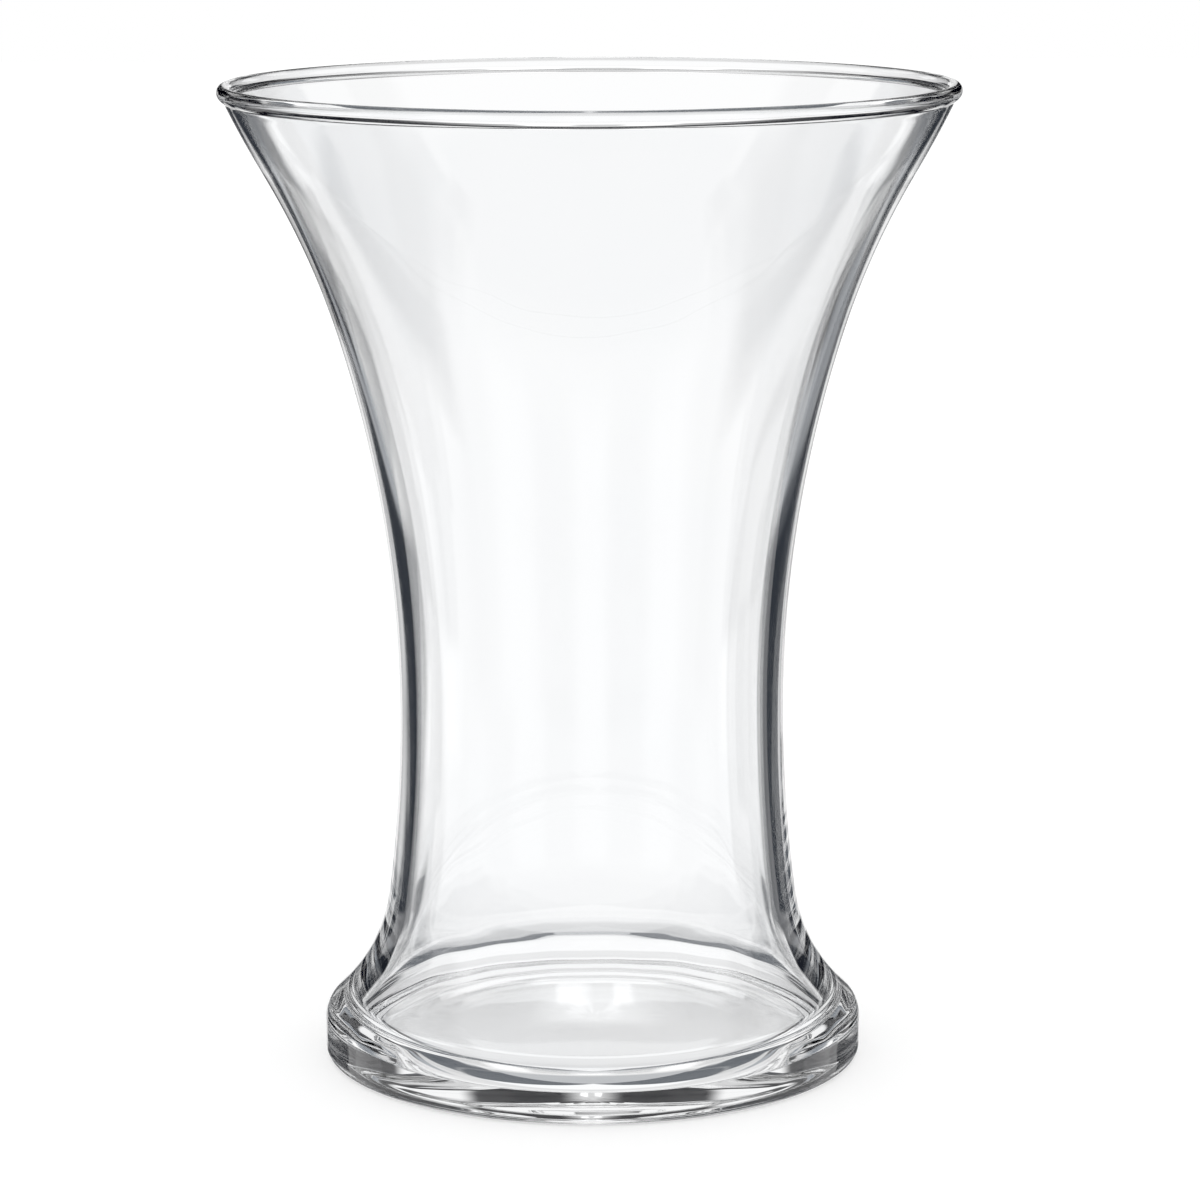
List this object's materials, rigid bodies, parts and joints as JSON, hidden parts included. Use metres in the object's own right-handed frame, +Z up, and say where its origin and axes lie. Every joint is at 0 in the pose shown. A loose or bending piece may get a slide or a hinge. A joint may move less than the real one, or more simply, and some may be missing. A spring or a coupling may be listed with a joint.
{
  "type": "trumpet vase",
  "caption": "Clear glass trumpet vase with a thick round foot, a drawn-in waist and a wide flared mouth with a rounded rim.",
  "frame": {"origin": "centre of the plane that the foot stands on", "axes": "+Z up along the vase's axis of revolution, from the foot to the mouth"},
  "size_m": [0.1488, 0.1488, 0.2],
  "materials": {
    "clear_glass": "clear, colourless, fire-polished"
  },
  "bodies": {
    "root": {"foot": "clear_glass", "trumpet_wall": "clear_glass", "rim_bead": "clear_glass"}
  },
  "joints": []
}
